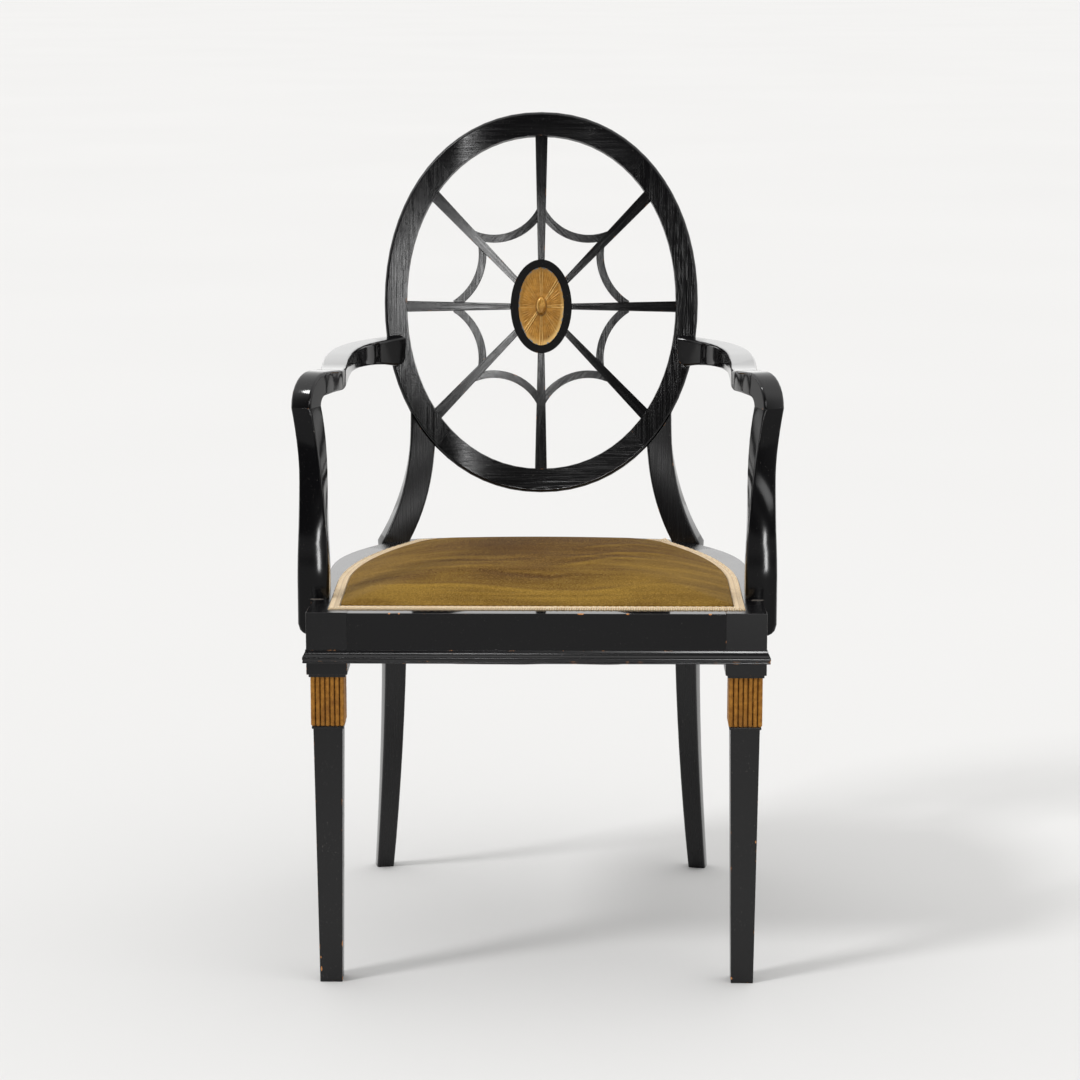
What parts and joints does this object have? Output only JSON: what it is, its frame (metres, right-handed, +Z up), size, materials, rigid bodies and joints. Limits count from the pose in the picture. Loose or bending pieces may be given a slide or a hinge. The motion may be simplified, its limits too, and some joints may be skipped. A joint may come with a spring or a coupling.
{
  "type": "spider back armchair",
  "caption": "Black lacquered open armchair with a raked oval spider web back, gilt hub patera, scrolled arms, horseshoe velvet seat and square tapered front legs.",
  "frame": {"origin": "middle of the chair's footprint box, on the floor", "axes": "+Z up, -Y the way a sitter faces, +X to the right of someone looking at the front"},
  "size_m": [0.5638, 0.5437, 0.9701],
  "materials": {
    "black_lacquer": "black lacquer on beech, glossy with worn satin faces on the back",
    "gilding": "dull gold leaf on carved wood",
    "bare_wood": "plain sawn beech",
    "brass_screws": "slotted wood screws",
    "webbing": "woven jute webbing",
    "hessian": "coarse jute cloth",
    "stuffing": "curled hair under wadding",
    "velvet": "olive gold velvet with soft ripples",
    "braid": "flat beige gimp braid",
    "canvas": "dark dust cloth"
  },
  "bodies": {
    "root": {"front_rail": "black_lacquer", "left_side_rail": "black_lacquer", "right_side_rail": "black_lacquer", "back_rail": "black_lacquer", "front_moulding": "black_lacquer", "left_moulding": "black_lacquer", "right_moulding": "black_lacquer", "front_left_leg": "black_lacquer", "front_right_leg": "black_lacquer", "left_reeding": "gilding", "right_reeding": "gilding", "rear_left_leg": "black_lacquer", "rear_right_leg": "black_lacquer", "oval_top": "black_lacquer", "oval_right": "black_lacquer", "oval_bottom": "black_lacquer", "oval_left": "black_lacquer", "spoke_right": "black_lacquer", "spoke_upper_right": "black_lacquer", "spoke_top": "black_lacquer", "spoke_upper_left": "black_lacquer", "spoke_left": "black_lacquer", "spoke_lower_left": "black_lacquer", "spoke_bottom": "black_lacquer", "spoke_lower_right": "black_lacquer", "web_right_upper": "black_lacquer", "web_top_right": "black_lacquer", "web_top_left": "black_lacquer", "web_left_upper": "black_lacquer", "web_left_lower": "black_lacquer", "web_bottom_left": "black_lacquer", "web_bottom_right": "black_lacquer", "web_right_lower": "black_lacquer", "hub": "black_lacquer", "patera": "gilding", "patera_button": "gilding", "left_arm": "black_lacquer", "right_arm": "black_lacquer", "left_arm_post": "black_lacquer", "right_arm_post": "black_lacquer", "front_left_block": "bare_wood", "front_right_block": "bare_wood", "rear_left_block": "bare_wood", "rear_right_block": "bare_wood", "corner_block_screws": "brass_screws", "arm_screws": "brass_screws", "arm_screw_plugs": "black_lacquer", "arm_post_screws": "brass_screws", "arm_dowels": "bare_wood", "oval_dowels": "bare_wood", "post_dowels": "bare_wood", "webbing_lengthwise": "webbing", "webbing_crosswise": "webbing", "hessian": "hessian", "stuffing": "stuffing", "seat_cover": "velvet", "gimp": "braid", "bottom_canvas": "canvas"}
  },
  "joints": []
}
